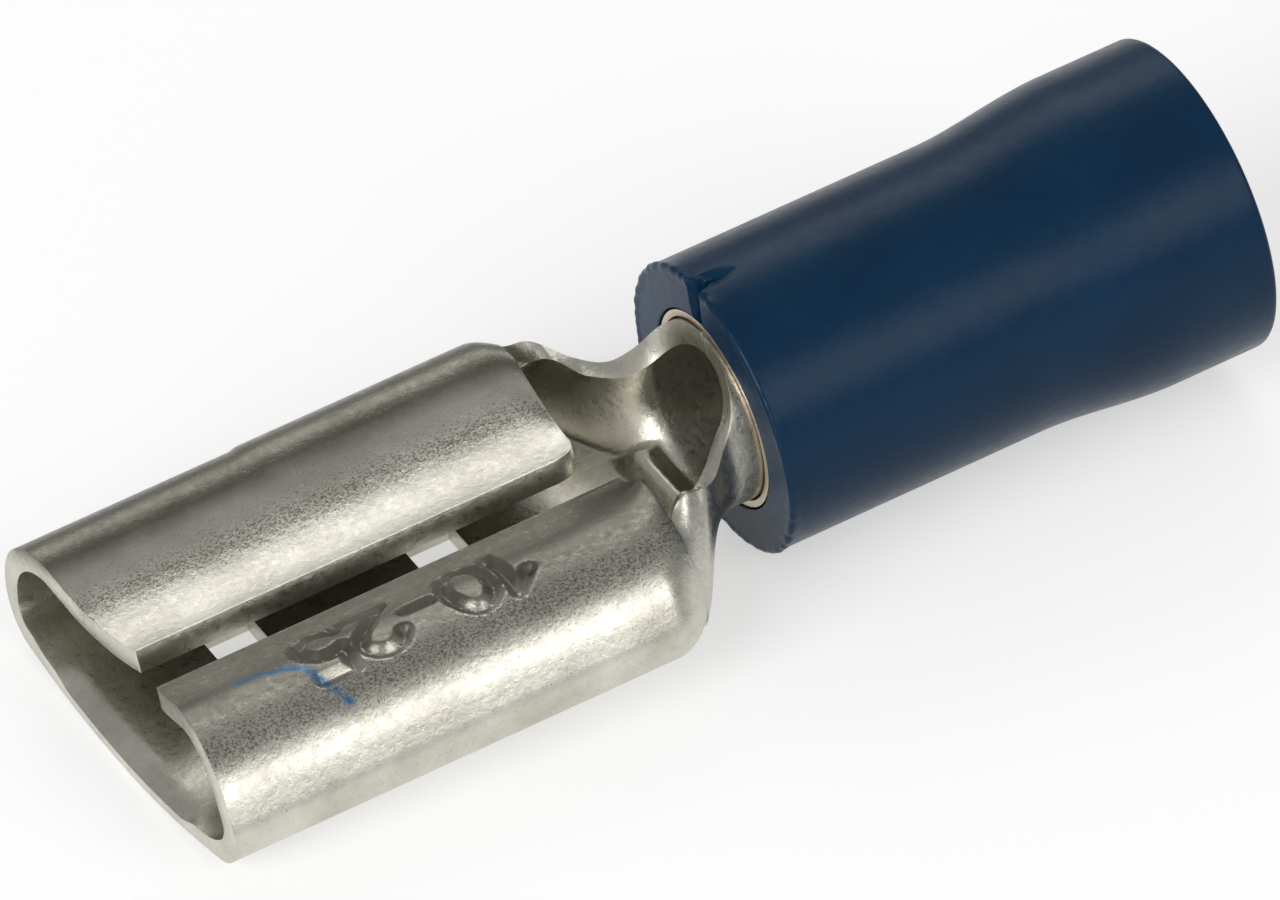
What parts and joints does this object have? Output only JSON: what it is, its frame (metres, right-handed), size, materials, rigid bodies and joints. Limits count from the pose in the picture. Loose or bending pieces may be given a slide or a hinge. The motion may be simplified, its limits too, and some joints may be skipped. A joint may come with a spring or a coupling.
{
  "type": "female spade terminal",
  "caption": "Insulated female spade terminal: a tinned folded receptacle with rolled lips, a crimp barrel and a flared blue insulating sleeve.",
  "frame": {"origin": "on the wire axis, at the front end of the crimp barrel", "axes": "+X along the wire axis towards the wire entry, +Z towards the open side of the receptacle between its lips, +Y towards the wider wing"},
  "size_m": [0.0197, 0.0079, 0.0054],
  "materials": {
    "tinned_sheet": "satin tin plating on brass sheet, mottled, with fine burrs on its sheared edges",
    "tinned_tube": "thin tinned copper tube, slightly coppery at its cut end",
    "blue_vinyl": "dark blue moulded vinyl with a soft gloss"
  },
  "bodies": {
    "root": {"terminal": "tinned_sheet", "support_sleeve": "tinned_tube", "insulating_sleeve": "blue_vinyl"}
  },
  "joints": []
}
